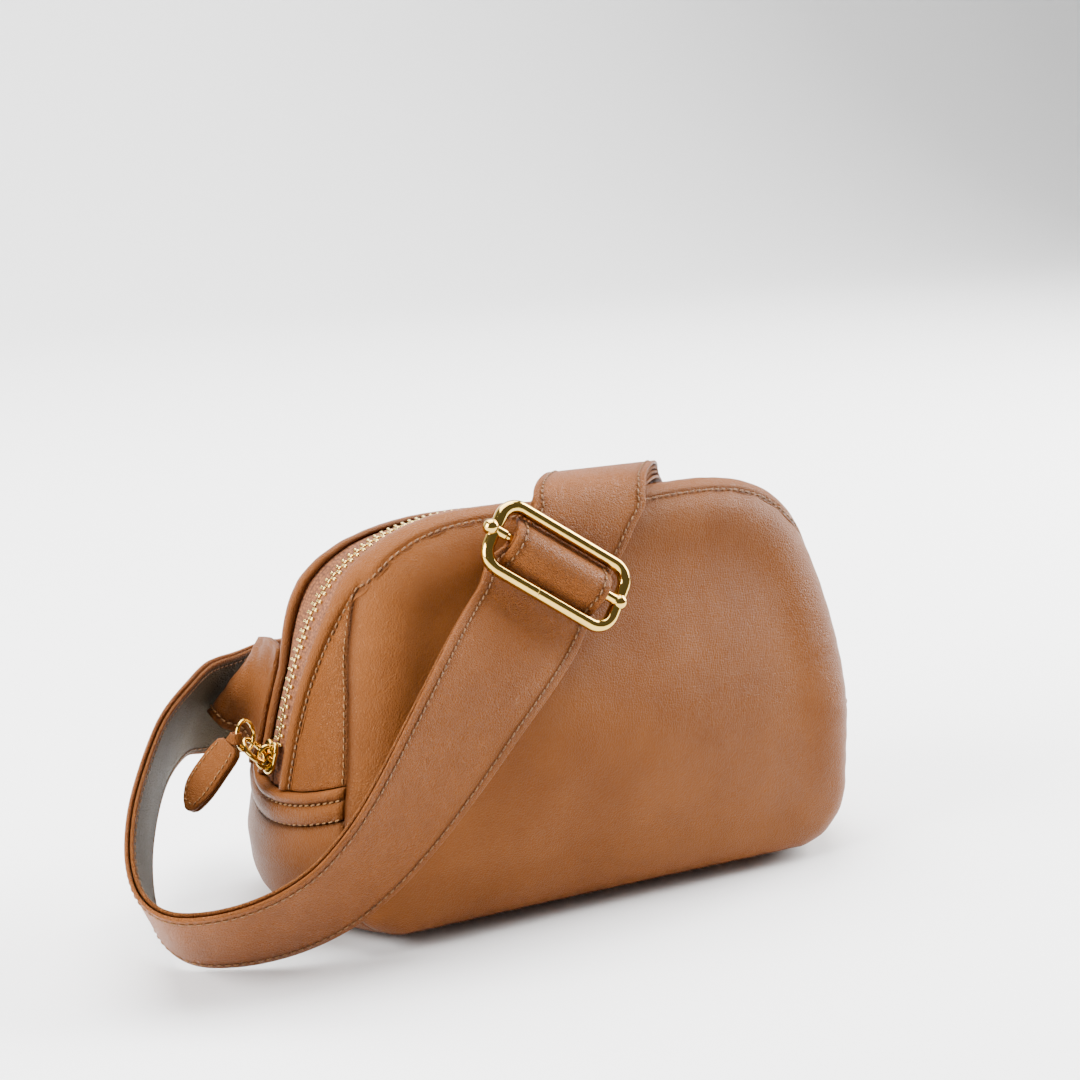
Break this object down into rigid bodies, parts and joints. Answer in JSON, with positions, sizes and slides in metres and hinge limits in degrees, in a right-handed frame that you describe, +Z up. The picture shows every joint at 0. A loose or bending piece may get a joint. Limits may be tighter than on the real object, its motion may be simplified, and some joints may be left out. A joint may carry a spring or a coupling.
{
  "type": "sling bag",
  "caption": "Small D-shaped zipped leather sling bag with a wide adjustable strap, slide buckle and leather-tabbed zip pull.",
  "frame": {"origin": "middle of the bag's flat base, on the floor; the strap loop at the left is not counted in the centring", "axes": "+X across the bag to its right as seen from the front, -Y out of the front panel, +Z up"},
  "size_m": [0.2714, 0.1325, 0.1391],
  "materials": {
    "tan_leather": "satin, fine grain",
    "strap_leather": "satin, fine grain",
    "strap_backing": "matt, grained",
    "lining_fabric": "matt",
    "zip_tape": "woven",
    "gold_metal": "polished gold plate",
    "base_board_card": "matt fibre board"
  },
  "bodies": {
    "bag": {"front_panel": "tan_leather", "back_panel": "tan_leather", "lining_front": "lining_fabric", "lining_back": "lining_fabric", "inner_pocket": "lining_fabric", "base_board": "base_board_card", "base_gusset": "tan_leather", "side_band_left": "tan_leather", "side_band_right": "tan_leather", "side_wedge_front_left": "tan_leather", "side_wedge_front_right": "tan_leather", "side_wedge_rear_left": "tan_leather", "side_wedge_rear_right": "tan_leather", "zip_strip_front": "tan_leather", "zip_strip_rear": "tan_leather", "zip_tape_front": "zip_tape", "zip_tape_rear": "zip_tape", "zip_teeth_front": "gold_metal", "zip_teeth_rear": "gold_metal", "zip_end_stop": "gold_metal", "wing_left": "tan_leather", "wing_right": "tan_leather", "wing_ring_loop": "tan_leather", "strap_outer_ply": "strap_leather", "strap_backing_ply": "strap_backing", "strap_return_outer_ply": "strap_leather", "strap_return_backing_ply": "strap_backing", "strap_ring": "gold_metal", "strap_ring_loop": "tan_leather"},
    "zip_slider": {"slider_body": "gold_metal", "slider_bridge": "gold_metal"},
    "zip_pull_link": {"pull_link": "gold_metal"},
    "zip_pull_tab": {"pull_ring": "gold_metal", "pull_tab_front": "tan_leather", "pull_tab_back": "tan_leather", "pull_tab_neck": "tan_leather"},
    "buckle": {"buckle_frame": "gold_metal", "buckle_centre_bar": "gold_metal", "strap_end_sleeve": "strap_leather", "strap_bridge": "strap_leather"}
  },
  "joints": [
    {"name": "zip_slider_travel", "type": "hinge", "parent": "bag", "child": "zip_slider", "pos_m": [0.04275, 0, 0.03716], "axis": [0, 1, 0], "range_deg": [0, 16]},
    {"name": "pull_link_swing", "type": "hinge", "parent": "zip_slider", "child": "zip_pull_link", "pos_m": [-0.10665, 0, 0.0558], "axis": [0, -1, 0], "range_deg": [0, 28]},
    {"name": "pull_tab_swing", "type": "hinge", "parent": "zip_pull_link", "child": "zip_pull_tab", "pos_m": [-0.11028, -0.00088, 0.0651], "axis": [-0.5062, 0.8553, -0.1101], "range_deg": [-12, 90]},
    {"name": "buckle_slide", "type": "slide", "parent": "bag", "child": "buckle", "axis": [-0.5694, -0.4405, -0.694], "range_m": [0, 0.02]}
  ]
}
